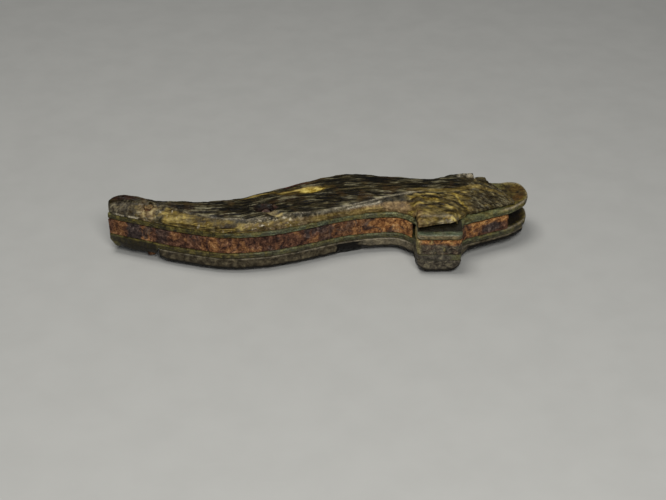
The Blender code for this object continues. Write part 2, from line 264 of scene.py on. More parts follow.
def dense_plate(loops, low, high, face):
    """A plate between two heights, as an even mesh of small faces."""
    curve = bpy.data.curves.new("outline", "CURVE")
    curve.dimensions = "2D"
    curve.fill_mode = "BOTH"
    curve.extrude = (high - low) / 2
    for points in loops:
        spline = curve.splines.new("POLY")
        spline.points.add(len(points) - 1)
        spline.use_cyclic_u = True
        for point, (x, y) in zip(spline.points, points):
            point.co = (x, y, 0.0, 1.0)
    mesh = made_mesh(new_object("outline", curve))
    mesh.transform(Matrix.Translation((0, 0, (low + high) / 2)))
    return dense(mesh, face)


def dense(mesh, face):
    """An even remesh of a closed mesh in mm."""
    cage = bmesh.new()
    cage.from_mesh(mesh)
    bmesh.ops.remove_doubles(cage, verts=cage.verts, dist=0.004)
    bmesh.ops.recalc_face_normals(cage, faces=cage.faces)
    cage.to_mesh(mesh)
    cage.free()
    guide = new_object("dense", mesh)
    remesh = guide.modifiers.new("remesh", "REMESH")
    remesh.mode = "VOXEL"
    remesh.voxel_size = face
    return made_mesh(guide)


def cad_mesh(node):
    """A copy of a CAD node's mesh, in mm."""
    mesh = NODES[node].data.copy()
    mesh.transform(Matrix.Scale(1 / MM, 4))
    return mesh


def read(mesh):
    """A mesh's points and normals."""
    points = np.empty(len(mesh.vertices) * 3)
    mesh.vertices.foreach_get("co", points)
    normals = np.empty(len(mesh.vertices) * 3)
    mesh.vertices.foreach_get("normal", normals)
    return points.reshape(-1, 3), normals.reshape(-1, 3)


def sides(normals):
    """1 on upright faces and 0 on level ones."""
    return np.clip(1 - np.abs(normals[:, 2]) * 1.6, 0, 1)


def pushed(x, y, normals, amount):
    """Plan positions moved out along the normals."""
    return x + normals[:, 0] * amount, y + normals[:, 1] * amount


def stand_out(y, lug):
    """The lug's front stands a little further out than in the CAD."""
    return y - LUG_SHIFT * lug * fall(y, LUG_FRONT + 0.5, LUG_FRONT + 4)


def finish_piece(mesh, points, node, body, surface, masks):
    """Makes a worn piece that stands in for its CAD node."""
    mesh.vertices.foreach_set("co", (points * MM).ravel())
    mesh.name = f"worn_{node}"
    for label, values in masks.items():
        kind, key = ("FLOAT_VECTOR", "vector") if np.ndim(values) == 2 else ("FLOAT", "value")
        layer = mesh.attributes.new(label, kind, "POINT")
        layer.data.foreach_set(key, np.asarray(values, np.float32).ravel())
    mesh.polygons.foreach_set("use_smooth", np.ones(len(mesh.polygons), bool))
    mesh.materials.clear()
    mesh.materials.append(surface)
    mesh.update()
    piece = new_object(mesh.name, mesh)
    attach(piece, body)
    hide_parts(node)


# ---- Materials ----

# Grey-brown dirt that has grown over the lug, the same on horn, brass and iron.
CRUST_GRAIN = (0.8, 8.0, 0.75, 0.5)
CRUST = (
    (0.4, 0.016, 0.013, 0.009),
    (0.48, 0.05, 0.041, 0.03),
    (0.55, 0.1, 0.086, 0.06),
    (0.64, 0.21, 0.18, 0.11),
)


class Surface:
    """A node material built from short calls. Each call returns a socket."""

    def __init__(self, name):
        self.material = bpy.data.materials.new(name)
        self.material.use_nodes = True
        self.tree = self.material.node_tree
        self.shader = self.tree.nodes["Principled BSDF"]
        self.place = self.node("ShaderNodeTexCoord").outputs["Object"]

    def node(self, kind, **settings):
        made = self.tree.nodes.new(kind)
        for key, value in settings.items():
            setattr(made, key, value)
        return made

    def join(self, socket, value):
        if hasattr(value, "is_output"):
            self.tree.links.new(value, socket)
        elif isinstance(value, tuple):
            socket.default_value = (*value, 1.0)
        else:
            socket.default_value = value

    def mask(self, name):
        return self.node("ShaderNodeAttribute", attribute_name=name).outputs["Fac"]

    def flow(self, stretch):
        """The piece's own along, across and height in mm, stretched."""
        source = self.node("ShaderNodeAttribute", attribute_name="flow").outputs["Vector"]
        return self.stretched(source, stretch)

    def stretched(self, source, stretch):
        made = self.node("ShaderNodeVectorMath", operation="MULTIPLY")
        self.join(made.inputs[0], source)
        made.inputs[1].default_value = stretch
        return made.outputs[0]

    def grain(self, per_mm, detail, rough, bend=0.0, vector=None):
        """Fractal noise, in cycles per mm or per unit of a vector."""
        made = self.node("ShaderNodeTexNoise")
        made.inputs["Scale"].default_value = per_mm / MM if vector is None else per_mm
        made.inputs["Detail"].default_value = detail
        made.inputs["Roughness"].default_value = rough
        made.inputs["Distortion"].default_value = bend
        self.join(made.inputs["Vector"], self.place if vector is None else vector)
        return made.outputs["Fac"]

    def cells(self, per_mm):
        """Distance to the nearest of scattered points."""
        made = self.node("ShaderNodeTexVoronoi")
        made.inputs["Scale"].default_value = per_mm / MM
        self.join(made.inputs["Vector"], self.place)
        return made.outputs["Distance"]

    def ramp(self, value, *stops):
        """Colour from a value. A stop is position, red, green, blue."""
        made = self.node("ShaderNodeValToRGB")
        elements = made.color_ramp.elements
        while len(elements) < len(stops):
            elements.new(0.5)
        for element, (position, *colour) in zip(elements, stops):
            element.position = position
            element.color = (*colour, 1.0)
        self.join(made.inputs["Fac"], value)
        return made.outputs["Color"]

    def level(self, value, low, high, to_low=0.0, to_high=1.0):
        """A soft step from to_low at low to to_high at high."""
        made = self.node("ShaderNodeMapRange", interpolation_type="SMOOTHSTEP")
        for socket, number in zip(made.inputs[1:5], (low, high, to_low, to_high)):
            socket.default_value = number
        self.join(made.inputs["Value"], value)
        return made.outputs["Result"]

    def maths(self, operation, first, second):
        made = self.node("ShaderNodeMath", operation=operation)
        self.join(made.inputs[0], first)
        self.join(made.inputs[1], second)
        return made.outputs[0]

    def add(self, first, second):
        return self.maths("ADD", first, second)

    def times(self, first, second):
        return self.maths("MULTIPLY", first, second)

    def blend(self, share, first, second):
        """A share of the first value, and the rest of the second."""
        return self.add(self.times(first, share), self.times(second, 1 - share))

    def mix(self, share, first, second):
        """The first colour, with a share of the second over it."""
        made = self.node("ShaderNodeMix", data_type="RGBA")
        self.join(made.inputs["Factor"], share)
        self.join(made.inputs[6], first)
        self.join(made.inputs[7], second)
        return made.outputs[2]

    def layer(self, colour, name, coat):
        """The colour, with a coat over it where a mask says."""
        return self.mix(self.mask(name), colour, coat)

    def crusted(self, colour):
        return self.layer(colour, "crust", self.ramp(self.grain(*CRUST_GRAIN), *CRUST))

    def finish(self, colour, roughness, height, strength, distance, metallic=0.0, specular=0.5):
        """Sets the shader. The height makes the bump; its distance is in mm."""
        self.join(self.shader.inputs["Base Color"], colour)
        self.join(self.shader.inputs["Roughness"], roughness)
        self.join(self.shader.inputs["Metallic"], metallic)
        self.shader.inputs["Specular IOR Level"].default_value = specular
        bump = self.node("ShaderNodeBump")
        bump.inputs["Strength"].default_value = strength
        bump.inputs["Distance"].default_value = distance * MM
        self.join(bump.inputs["Height"], height)
        self.join(self.shader.inputs["Normal"], bump.outputs["Normal"])
        return self.material


def horn_top(s, fine_fibre):
    """Nearly black horn with brown patches, and paler in the streaks."""
    long_fibre = s.grain(1.0, 8.0, 0.7, 0.35, s.flow((0.2, 1.9, 1.2)))
    fibre = s.blend(0.75, long_fibre, fine_fibre)
    patch = s.grain(0.2, 5.0, 0.6, 0.6)
    dark = s.ramp(
        fibre,
        (0.42, 0.001, 0.0008, 0.0003), (0.5, 0.006, 0.0045, 0.0015), (0.56, 0.026, 0.02, 0.007),
        (0.62, 0.09, 0.072, 0.032),
    )
    brown = s.ramp(fibre, (0.4, 0.012, 0.004, 0.001), (0.6, 0.075, 0.04, 0.01))
    dark = s.mix(s.level(patch, 0.52, 0.64, 0.0, 0.45), dark, brown)
    light = s.ramp(fine_fibre, (0.38, 0.05, 0.042, 0.018), (0.5, 0.15, 0.13, 0.07), (0.62, 0.34, 0.31, 0.2))
    return s.layer(dark, "streak", light)


def horn_facet(s, fine_fibre, mottle):
    """The carved facet: greyer horn with dark stains and tan places."""
    facet = s.ramp(
        s.blend(0.75, mottle, fine_fibre),
        (0.4, 0.006, 0.005, 0.002), (0.47, 0.035, 0.027, 0.013), (0.54, 0.11, 0.09, 0.05),
        (0.62, 0.27, 0.23, 0.14),
    )
    stain = s.ramp(mottle, (0.4, 0.008, 0.007, 0.004), (0.62, 0.06, 0.05, 0.03))
    tan = s.ramp(mottle, (0.38, 0.07, 0.04, 0.014), (0.5, 0.19, 0.12, 0.05), (0.63, 0.4, 0.28, 0.14))
    return s.layer(s.layer(facet, "stain", stain), "tan", tan)


def horn_worn_through(s, colour, mottle):
    """Amber where the horn is thin, yellow in the gouge, rust red in the hollows."""
    amber_grain = s.grain(1.0, 6.0, 0.62, 0.7, s.flow((0.15, 0.8, 0.8)))
    amber = s.ramp(
        s.blend(0.75, amber_grain, mottle),
        (0.4, 0.014, 0.007, 0.001), (0.47, 0.065, 0.042, 0.008), (0.54, 0.18, 0.125, 0.027),
        (0.62, 0.42, 0.32, 0.1),
    )
    bright = s.ramp(mottle, (0.4, 0.12, 0.065, 0.006), (0.49, 0.31, 0.21, 0.028), (0.6, 0.58, 0.46, 0.13))
    rust = s.ramp(mottle, (0.4, 0.014, 0.003, 0.002), (0.62, 0.11, 0.035, 0.018))
    colour = s.layer(colour, "amber", amber)
    colour = s.layer(colour, "bright", bright)
    return s.layer(colour, "rust", rust)


def horn_material():
    """Dark fibrous horn, greyer on the carved facet, amber where it is thin."""
    s = Surface("weathered_horn")
    fine_fibre = s.grain(1.0, 5.0, 0.7, 0.2, s.flow((0.7, 5.0, 3.0)))
    mottle = s.grain(0.8, 8.0, 0.72, 0.4)
    speck = s.grain(2.6, 4.0, 0.65)
    colour = s.layer(horn_top(s, fine_fibre), "facet", horn_facet(s, fine_fibre, mottle))
    colour = s.crusted(horn_worn_through(s, colour, mottle))
    # Pale marks: painted highlights and pale wear, flecked.
    pale = s.times(s.mask("pale"), s.level(speck, 0.42, 0.6, 0.35, 1.0))
    colour = s.mix(pale, colour, (0.5, 0.44, 0.32))
    # Painted shade: near black where the depth mask is high.
    colour = s.mix(s.level(s.mask("depth"), 0.1, 0.9, 0.0, 0.97), colour, (0.002, 0.0015, 0.001))
    roughness = s.level(mottle, 0.42, 0.6, 0.28, 0.7)
    return s.finish(colour, roughness, s.blend(0.6, fine_fibre, speck), 0.6, 0.18, specular=0.14)


def brass_material():
    """Tarnished brass: olive where bare, green where verdigris has grown."""
    s = Surface("verdigris_brass")
    mottle = s.grain(0.7, 8.0, 0.7, 0.5)
    fine = s.grain(3.0, 6.0, 0.65, 0.3)
    streak = s.grain(1.0, 6.0, 0.65, 0.4, s.stretched(s.place, (350.0, 1100.0, 1300.0)))
    grown = s.blend(0.5, streak, fine)
    bare = s.ramp(
        mottle,
        (0.4, 0.018, 0.012, 0.002), (0.47, 0.065, 0.045, 0.007), (0.54, 0.13, 0.098, 0.016),
        (0.63, 0.26, 0.2, 0.05),
    )
    green = s.ramp(
        grown,
        (0.38, 0.012, 0.015, 0.007), (0.46, 0.045, 0.05, 0.022), (0.54, 0.115, 0.122, 0.055),
        (0.64, 0.28, 0.3, 0.145),
    )
    teal = s.ramp(grown, (0.38, 0.012, 0.02, 0.014), (0.5, 0.06, 0.075, 0.045), (0.64, 0.2, 0.24, 0.15))
    orange = s.ramp(fine, (0.4, 0.1, 0.04, 0.006), (0.62, 0.3, 0.15, 0.025))
    brown = s.ramp(mottle, (0.4, 0.05, 0.035, 0.016), (0.6, 0.22, 0.165, 0.08))
    dirt_and_painted_shade = s.ramp(fine, (0.42, 0.002, 0.0015, 0.001), (0.65, 0.026, 0.018, 0.009))
    colour = bare
    for name, coat in (("orange", orange), ("green", green), ("teal", teal), ("brown", brown)):
        colour = s.layer(colour, name, coat)
    # Painted highlight along the top of the lug's rolled edge; brighter brass at the lug's left end and
    # along the toe's rim.
    painted_highlight_and_bright_brass = s.times(s.mask("painted_highlight_and_bright_brass"), s.level(fine, 0.4, 0.56, 0.3, 1.0))
    colour = s.crusted(s.mix(painted_highlight_and_bright_brass, colour, (0.72, 0.62, 0.44)))
    # Near-black dirt, and painted shade under the lug's horn, along the rolled edge's foot and in the toe's
    # mouth.
    colour = s.layer(colour, "dirt_and_painted_shade", dirt_and_painted_shade)
    roughness = s.level(mottle, 0.38, 0.62, 0.38, 0.7)
    metal = s.times(s.level(s.mask("green"), 0.1, 0.8, 1.0, 0.0), 0.4)
    return s.finish(colour, roughness, s.add(fine, streak), 0.5, 0.12, metallic=metal, specular=0.3)


def rust_colours(s, blend):
    """Red-brown rust, orange rust, and dark purple-brown scale."""
    red = s.ramp(
        blend,
        (0.39, 0.01, 0.004, 0.003), (0.46, 0.042, 0.017, 0.01), (0.52, 0.1, 0.043, 0.023),
        (0.59, 0.2, 0.095, 0.052), (0.67, 0.46, 0.28, 0.17),
    )
    orange = s.ramp(
        blend,
        (0.4, 0.045, 0.015, 0.006), (0.47, 0.19, 0.075, 0.025), (0.54, 0.4, 0.19, 0.06),
        (0.6, 0.62, 0.35, 0.13), (0.67, 0.75, 0.52, 0.28),
    )
    dark = s.ramp(
        blend,
        (0.39, 0.006, 0.004, 0.004), (0.48, 0.028, 0.02, 0.019), (0.56, 0.075, 0.056, 0.05),
        (0.66, 0.26, 0.21, 0.18),
    )
    return red, orange, dark


def rust_material():
    """Crusted iron: red, orange and dark rust, with pits."""
    s = Surface("rusted_iron")
    patch = s.grain(0.22, 5.0, 0.65, 0.8)
    mottle = s.grain(0.8, 8.0, 0.75, 0.5)
    fine = s.grain(3.0, 6.0, 0.7, 0.2)
    pits = s.cells(1.7)
    blend = s.blend(0.75, mottle, fine)
    red, orange, dark = rust_colours(s, blend)
    colour = s.mix(s.level(patch, 0.53, 0.6, 0.0, 0.45), red, orange)
    colour = s.layer(colour, "orange", orange)
    colour = s.mix(s.level(patch, 0.45, 0.38, 0.0, 0.85), colour, dark)
    colour = s.crusted(s.layer(colour, "dark", dark))
    gold = s.ramp(fine, (0.4, 0.1, 0.075, 0.02), (0.6, 0.42, 0.36, 0.15))
    colour = s.layer(colour, "gold", gold)
    colour = s.mix(s.level(pits, 0.0, 0.2, 0.6, 0.0), colour, (0.008, 0.004, 0.003))
    roughness = s.level(blend, 0.38, 0.66, 0.9, 0.55)
    height = s.add(blend, s.times(s.level(pits, 0.0, 0.3), 0.3))
    return s.finish(colour, roughness, height, 1.0, 0.22, specular=0.2)


def blade_material():
    """Old blade steel: grey with brown rust blooms, black pits and grinding lines."""
    s = Surface("pitted_steel")
    patch = s.grain(0.12, 6.0, 0.62, 0.5)
    mottle = s.grain(0.7, 8.0, 0.68, 0.4)
    lines = s.grain(1.0, 4.0, 0.6, 0.0, s.stretched(s.place, (120.0, 2600.0, 400.0)))
    pits = s.cells(1.3)
    steel = s.ramp(
        mottle,
        (0.36, 0.05, 0.047, 0.045), (0.52, 0.12, 0.115, 0.11), (0.68, 0.24, 0.235, 0.225),
    )
    rust = s.ramp(mottle, (0.36, 0.03, 0.014, 0.008), (0.52, 0.11, 0.048, 0.02), (0.68, 0.24, 0.12, 0.05))
    rusty = s.level(s.blend(0.7, patch, mottle), 0.45, 0.56)
    colour = s.mix(rusty, steel, rust)
    colour = s.mix(s.level(pits, 0.0, 0.2, 0.7, 0.0), colour, (0.012, 0.008, 0.006))
    metal = s.level(rusty, 0.2, 0.8, 0.85, 0.1)
    roughness = s.level(mottle, 0.35, 0.65, 0.42, 0.75)
    height = s.add(s.times(lines, 0.5), s.add(mottle, s.level(pits, 0.0, 0.25)))
    return s.finish(colour, roughness, height, 0.45, 0.12, metallic=metal)


HORN = horn_material()
BRASS = brass_material()
RUST = rust_material()
BLADE = blade_material()


# ---- Upper scale ----

# Over x: where the carved ridge and the middle of the fibres run, and how high the wall, ridge and
# crown stand.
RIDGE_Y = [
    (-52, -2.6), (-49, -2.6), (-44, -3.9), (-37, -4.8), (-32.5, -7.4), (-27, -9.7), (-23, -10.7),
    (-17.4, -11.0), (-13, -10.3), (-9.5, -9.2), (-5.2, -7.9), (0, -6.4), (4, -4.8), (9, -3.1),
    (15.5, -0.5), (19.7, 0.9), (24.7, 2.1), (30, 1.8), (34, 2.2), (38, 4.0), (44, 4.0),
]
FIBRE_Y = [
    (-52, -1.0), (-44, -3.6), (-36, -5.2), (-27, -6.6), (-19, -6.0), (-8, -1.5), (2, 2.0), (12, 3.6),
    (24, 4.0), (40, 5.0), (52, 6.0),
]
WALL_HEIGHT = [
    (-52, 0.9), (-45, 1.1), (-25, 1.4), (-5, 1.2), (4, 0.9), (20, 1.0), (34, 0.9), (40, 0.7), (48, 0.4),
]
RIDGE_HEIGHT = [
    (-52, 2.6), (-49, 3.0), (-44, 3.0), (-5, 3.0), (1, 2.4), (5, 2.3), (9, 2.5), (16, 2.9), (34, 3.1),
    (40, 2.6), (48, 1.2),
]
CROWN_HEIGHT = [
    (-52, 3.4), (-49, 3.9), (-45, 3.9), (-40, 3.5), (-27, 3.6), (-9, 3.7), (15, 3.7), (33, 3.6),
    (39, 3.4), (48, 1.6),
]
FAR_WALL, FAR_BEVEL = 1.3, 1.5
TAIL_HEIGHT, TAIL_ROUND = 0.8, 4.0
BREAK_LINE = [(41.6, 13.0), (44.2, 10.9), (46.6, 6.0), (48.4, 0.9), (49.6, -3.0)]

# On the lug: its bulge's reach, the round of its ends, and how far the horn has lifted off the liner.
SHOULDER_REACH, BULGE_REACH, LUG_ROUND = 5.0, 5.1, 2.8
LUG_BASE, LUG_TOP = 1.1, 3.0
LUG_LIFT = 1.1

# Marks in plan, each with its centre, half sizes and turn in degrees.
GOUGE = ((-4.6, 1.9), (7.0, 1.6), 14.0)
BRIGHT = ((-2.0, 2.5), (3.4, 1.1), 14.0)
CHIP = ((-10.9, -8.7), (1.7, 0.9), -14.0)
PIN_HOLLOW = ((-13.4, -6.8), (2.4, 1.35), 4.0)
DENT = ((-27.6, -1.5), (0.9, 1.5))
SCAR = (-42.0, -5.8)


def lug_height(x, y, near, ridge_y):
    """Thickness over the lug: a round bulge, then level up to the ridge."""
    shoulder = near + SHOULDER_REACH
    bulge = np.sqrt(np.clip(1 - ((shoulder - y) / BULGE_REACH) ** 2, 0, 1))
    behind = np.clip((y - shoulder) / (ridge_y - shoulder), 0, 1)
    past_end = np.clip((np.abs(x - LUG_MIDDLE) - LUG_WIDTH / 2 + LUG_ROUND) / LUG_ROUND, 0, 1)
    past_end = past_end * fall(y, -7.0, -5.0)
    bulge = bulge * (0.35 + 0.65 * np.sqrt(1 - past_end**2))
    return np.where(y < shoulder, LUG_BASE + (LUG_TOP - LUG_BASE) * bulge, LUG_TOP + 0.2 * behind)


def horn_height(x, y, near, far):
    """Thickness of the upper scale before fibres, and its ridge's y."""
    ridge_y = np.clip(over(RIDGE_Y, x), near + 0.5, far - 2.2)
    wall, ridge, crown = over(WALL_HEIGHT, x), over(RIDGE_HEIGHT, x), over(CROWN_HEIGHT, x)
    up = np.clip((y - near) / (ridge_y - near), 0, 1)
    facet = wall + (ridge - wall) * up**0.8
    lug = band(x, LUG_LEFT + 0.9, LUG_RIGHT - 2.0, 2.4)
    facet = facet * (1 - lug) + lug_height(x, y, near, ridge_y) * lug
    far_top = far - FAR_BEVEL
    t = np.clip((y - ridge_y) / np.maximum(far_top - ridge_y, 0.5), 0, 1)
    swell = 1 - (1 - np.clip(t / 0.5, 0, 1)) ** 2
    broad = ridge + (crown - ridge) * swell - 0.4 * np.clip((t - 0.5) / 0.5, 0, 1) ** 2
    drop = np.clip((y - far_top) / FAR_BEVEL, 0, 1)
    broad = broad - np.maximum(broad - FAR_WALL, 0) * drop**1.6
    height = np.where(y < ridge_y, facet, broad)
    end = np.sqrt(1 - ((TAIL_X + TAIL_ROUND + 0.6 - x) / TAIL_ROUND).clip(0, 1) ** 2)
    return TAIL_HEIGHT + (height - TAIL_HEIGHT) * (0.1 + 0.9 * end), ridge_y


def lug_grain(x, y):
    """Wavy growth lines on the lug, as streaks between 0 and 1."""
    plan = turned(x, y, -24)
    waves = noise(plan + 0.5 * noise(plan, 0.25, 141, 2)[:, None], (0.14, 0.95, 1.0), 145, 3, 0.55)
    return rise(waves, -0.15, 0.5)


def add_fibres(h):
    """The fibres, flecks and hatching, and the pale streaks that follow them."""
    h.across = h.y - over(FIBRE_Y, h.x)
    h.fibres = noise(in_plan(h.x, h.across), (0.13, 1.2, 1.0), 21, 4, 0.62)
    flecks = 1.1 * noise(turned(h.x, h.across, -6), (0.19, 1.45, 1.0), 31, 2, 0.6)
    fleck_zone = band(h.x, -8.0, 34.0, 6.0) * (1 - 0.35 * rise(h.y - h.ridge, 6.5, 9.0))
    hatch = noise(turned(h.x, h.y, -38), (0.35, 1.9, 1.0), 41, 3, 0.6)
    h.hatch_zone = rise(h.x, 34.0, 39.5) * (1 - 0.6 * rise(h.y, 7.0, 9.5))
    h.grown = h.fibres * (1 - fleck_zone) + flecks * fleck_zone
    h.grown = h.grown * (1 - h.hatch_zone) + (1.3 * hatch + 0.1) * h.hatch_zone
    patches = noise(in_plan(h.x, h.y), 0.16, 45, 2)
    streak = rise(h.grown + 0.5 * patches, 0.24, 0.58) * (0.75 - 0.1 * fleck_zone)
    near_ridge = band(h.x, -2, 26, 4) * peak(h.y, h.ridge, 1.3)
    streak = np.clip(streak + near_ridge * rise(h.grown, -0.1, 0.4) * 0.5, 0, 1)
    h.streak = streak * (1 - 0.85 * rise(h.y - h.far, -0.8, -0.3))


def add_relief(h):
    """The relief of fibres, groove, gouge, chip, hollows and scar."""
    plan = in_plan(h.x, h.y)
    slope = np.hypot(h.ridge - h.near, 2.2) / np.maximum(h.ridge - h.near, 0.5)
    h.groove = band(h.x, -36.0, 33.0, 4.0) * peak((h.ridge - h.y) * slope, 0.4, 0.22)
    h.scar = blob(h.x, h.y, SCAR, (1.9, 3.0), 8, 0.25)
    relief = (1 - h.facet) * 0.2 * np.clip(h.grown, -0.9, 0.9)
    relief += h.facet * (0.05 * h.fibres + 0.1 * noise(plan, 0.6, 51, 3))
    relief += 0.12 * noise(plan, 0.12, 61, 2)
    relief += h.facet * band(h.x, 22, 34, 1.5) * 0.22 * (lug_grain(h.x, h.y) - 0.5)
    relief -= 0.12 * h.groove
    relief -= 0.5 * blob(h.x, h.y, *GOUGE, soft=0.3)
    for depth, place in ((0.35, CHIP), (0.8, PIN_HOLLOW), (0.8, DENT)):
        relief -= depth * blob(h.x, h.y, *place)
    relief += h.scar * 0.3 * noise(plan, 0.8, 65, 3)
    relief += band(h.x, -51, -45, 1.5) * h.facet * 0.25 * noise(plan, 0.3, 67, 2)
    h.relief = relief


def broken_end(h, height):
    """Thins the broken end out in splintered layers, with a flake on its far edge."""
    plan = in_plan(h.x, h.y)
    inward = h.y - h.far
    steps = np.clip(h.gap + 0.7 * noise(plan, 0.5, 71, 3), 0, 12)
    layers = 0.3 + 0.28 * steps + 0.18 * np.floor(steps / 0.9) * rise(steps, 0.6, 1.2)
    height = np.minimum(height, layers + 0.5 * h.relief)
    ragged = h.x + 0.5 * noise(plan, 0.7, 73, 2)
    flake = rise(h.x, 28.5, 33.0) * fall(ragged, 38.7, 39.1) * rise(inward, -3.6, -2.0)
    height = height + flake * (3.2 + 0.6 * h.relief - height) * (1 - 0.8 * rise(inward, -0.7, -0.2))
    second = rise(ragged, 39.4, 40.0) * fall(ragged, 42.0, 42.8) * rise(inward, -2.8, -1.6)
    height = height + second * np.maximum(2.05 - height, 0) * (1 - 0.8 * rise(inward, -0.6, -0.2))
    return np.maximum(height, 0.25)


def lug_lift(h):
    """How far the horn has lifted off the liner over the lug."""
    lift = LUG_LIFT * (0.7 + 0.3 * rise(h.x, LUG_LEFT + 0.5, LUG_RIGHT - 3.0))
    lift = lift * band(h.x, LUG_LEFT - 0.2, LUG_RIGHT - 0.6, 0.3)
    return lift * fall(h.y - h.near, 1.6, 3.6) * (h.y < -3)


def wear_plan(h, z, normals):
    """Roughens the walls, skews the lug, and sets back the worn edges."""
    wave = 0.25 * noise(in_plan(h.x, h.y), 0.3, 91, 2)
    edge = fall(h.y - h.near, 0.0, 3.0)
    rough = 0.1 * noise(np.column_stack([h.x, h.y, z * 0.9]), (0.8, 0.8, 1.6), 81, 3)
    x, y = pushed(h.x, h.y, normals, sides(normals) * rough)
    skew = band(x, LUG_LEFT - 0.6, LUG_RIGHT + 0.6, 0.3) * rise(-y, 4.0, 8.5)
    y = y + skew * (0.2 * (x - LUG_MIDDLE) - 1.5 + wave)
    inset = (
        0.5 * rise(x, 35.2, 37.0) * fall(x, 46.5, 48.5)
        + 0.45 * band(x, 12.0, 21.5, 2.5)
        + 0.7 * band(x, LUG_RIGHT - 0.3, LUG_RIGHT + 2.2, 0.5)
    )
    y = y + inset * edge
    x = x - 0.9 * fall(x, TAIL_X + 1.0, TAIL_X + 5.0)
    x = x - 0.8 * rise(x, LUG_RIGHT - 2.8, LUG_RIGHT - 0.6) * fall(y, -7.5, -5.0)
    h.x, h.y, h.near = x, y, h.near + inset


def mark(h, centre, size, turn=0.0, soft=0.35):
    """A blob whose border wanders."""
    return blob(h.wx, h.wy, centre, size, turn, soft)


def amber_mask(h):
    """Amber on the facet and the lug, in the gouge, and at the broken end."""
    facet = (
        band(h.wx, -37.0, -21.0, 1.2) * fall(h.up, 0.72, 0.92) * (0.75 + 0.5 * h.fine)
        + 0.6 * band(h.wx, -51, -38, 2) * rise(h.fine, -0.1, 0.4)
        + 0.75 * band(h.wx, -21.0, -6.0, 1.5) * fall(h.up, 0.3, 0.6) * rise(h.fine, -0.25, 0.25)
        + 0.6 * band(h.wx, -2.0, 15.0, 2.0) * fall(h.up, 0.1, 0.35)
    )
    return (
        h.facet * facet
        + h.lug_top * (0.3 + 0.7 * h.grain) * (0.7 + 0.3 * rise(h.y, -8.5, -6.5))
        + mark(h, *GOUGE) * 0.95
        + mark(h, *CHIP, 0.3) * 0.8
        + mark(h, (-15.5, -0.6), (6.5, 0.6), 22) * 0.7
        + (1 - h.facet) * rise(h.x, 20, 26) * band(h.y - h.ridge, 0.1, 1.2, 0.3) * 0.6
        + rise(h.x, 34, 38) * (0.12 + 0.35 * rise(h.fine, 0.1, 0.4))
    )


def tan_mask(h):
    """Tan on the facet, at the scar, and where the horn thins out."""
    facet = (
        band(h.wx, 8, 23, 2) * fall(h.up, 0.35, 0.6) * 0.85
        + band(h.x, -18, 6, 2) * fall(h.up, 0.2, 0.5) * 0.4
        + band(h.wx, LUG_LEFT, 27.5, 0.8) * fall(h.y, -8.0, -6.0) * 0.35
        + mark(h, SCAR, (1.9, 3.4), 6) * 0.5
    )
    return (
        h.facet * facet
        + rise(h.x, 35.5, 37.5) * peak(h.y - h.near, 0.7, 1.0) * (0.6 + 0.4 * h.fine)
        + rise(h.x, 36, 38) * fall(h.gap + 0.4 * h.fine, 0.2, 0.9) * 0.7
    )


def stain_mask(h):
    """Dark stains on the facet and between the lug's growth lines."""
    return h.facet * (
        mark(h, (21.8, -2.0), (1.9, 2.3)) * 0.9
        + band(h.up, 0.55, 1.1, 0.15) * band(h.wx, -6, 19, 3) * 0.6
        + rise(h.fine, 0.15, 0.5) * band(h.wx, -52, -45, 1) * 0.6
        + h.lug_top * (1 - h.grain) * 0.6
        + h.facet * mark(h, (26.4, -8.9), (2.6, 2.8)) * 0.85
        + 0.75 * rise(h.nibble, 0.0, 0.45)
    )


def pale_wear_and_highlight_mask(h):
    """Painted highlights as glints on the facet, along the ridge's crest and low on the lug's front; pale
    wear at the chip, the scar, the flake and the break; pale lines on the facet and along the lug's and the
    tail's near edges.
    """
    inward = h.y - h.far
    flake = rise(inward, -3.4, -1.6) * fall(inward, -0.6, -0.2) * rise(h.fine, -0.3, 0.2)
    # The first term is a pale streak; the other two are painted highlights, glints on the facet.
    facet = (
        band(h.x, 7.0, 14.5, 0.8) * peak(h.up, 0.62, 0.13) * 0.95
        + band(h.x, -15.0, -7.0, 1.5) * rise(h.glint + 0.4 * h.fine, 0.5, 0.65) * 0.9
        + band(h.x, -38.0, 4.0, 2.0) * rise(h.glint + 0.3 * h.fine, 0.66, 0.8) * 0.8
    )
    # Painted highlights along the ridge's crest.
    ridge = (
        band(h.x, 4, 24, 3) * peak(h.y - h.ridge, 0.15, 0.22) * 0.5
        + band(h.x, -31, 3, 3) * peak(h.y - h.ridge, -0.15, 0.2) * rise(h.nibble, -0.4, 0.2) * 0.4
    )
    tail_edge = peak(h.y, h.near, 0.45) * rise(h.fine, -0.35, 0.0) * (h.share < 0.6)
    return (
        h.facet * facet
        + ridge
        + mark(h, *CHIP, 0.3) * 0.25
        + mark(h, SCAR, (1.7, 3.0), 6) * rise(h.fine, 0.1, 0.4) * 0.35
        # Painted highlight low on the lug's front.
        + mark(h, (31.0, -10.1), (2.2, 0.5), 8) * 0.6
        + band(h.x, 35.0, 38.9, 0.8) * flake
        + band(h.x, LUG_LEFT + 1.0, LUG_RIGHT - 0.6, 0.4) * peak(h.y, h.near, 0.35) * 0.35
        + band(h.x, TAIL_X, -44.0, 0.6) * tail_edge
        + rise(h.x, 36, 38) * fall(h.gap + 0.5 * h.fine, 0.1, 0.6) * 0.12
    )


def painted_shade_mask(h):
    """Painted shade in the hollows, the groove, and low on the toe's thin wall."""
    open_marks = (1 - blob(h.x, h.y, *GOUGE)) * (1 - blob(h.x, h.y, *CHIP)) * (1 - h.scar)
    hollow = np.clip(-h.relief * 3.5, 0, 1) * open_marks
    low_wall = fall(h.share, 0.1, 0.4) * rise(h.x, 35, 36.5) * (h.y < h.ridge)
    return hollow * 0.75 + h.groove * 0.3 * rise(h.x, -34, -20) + low_wall * 0.95


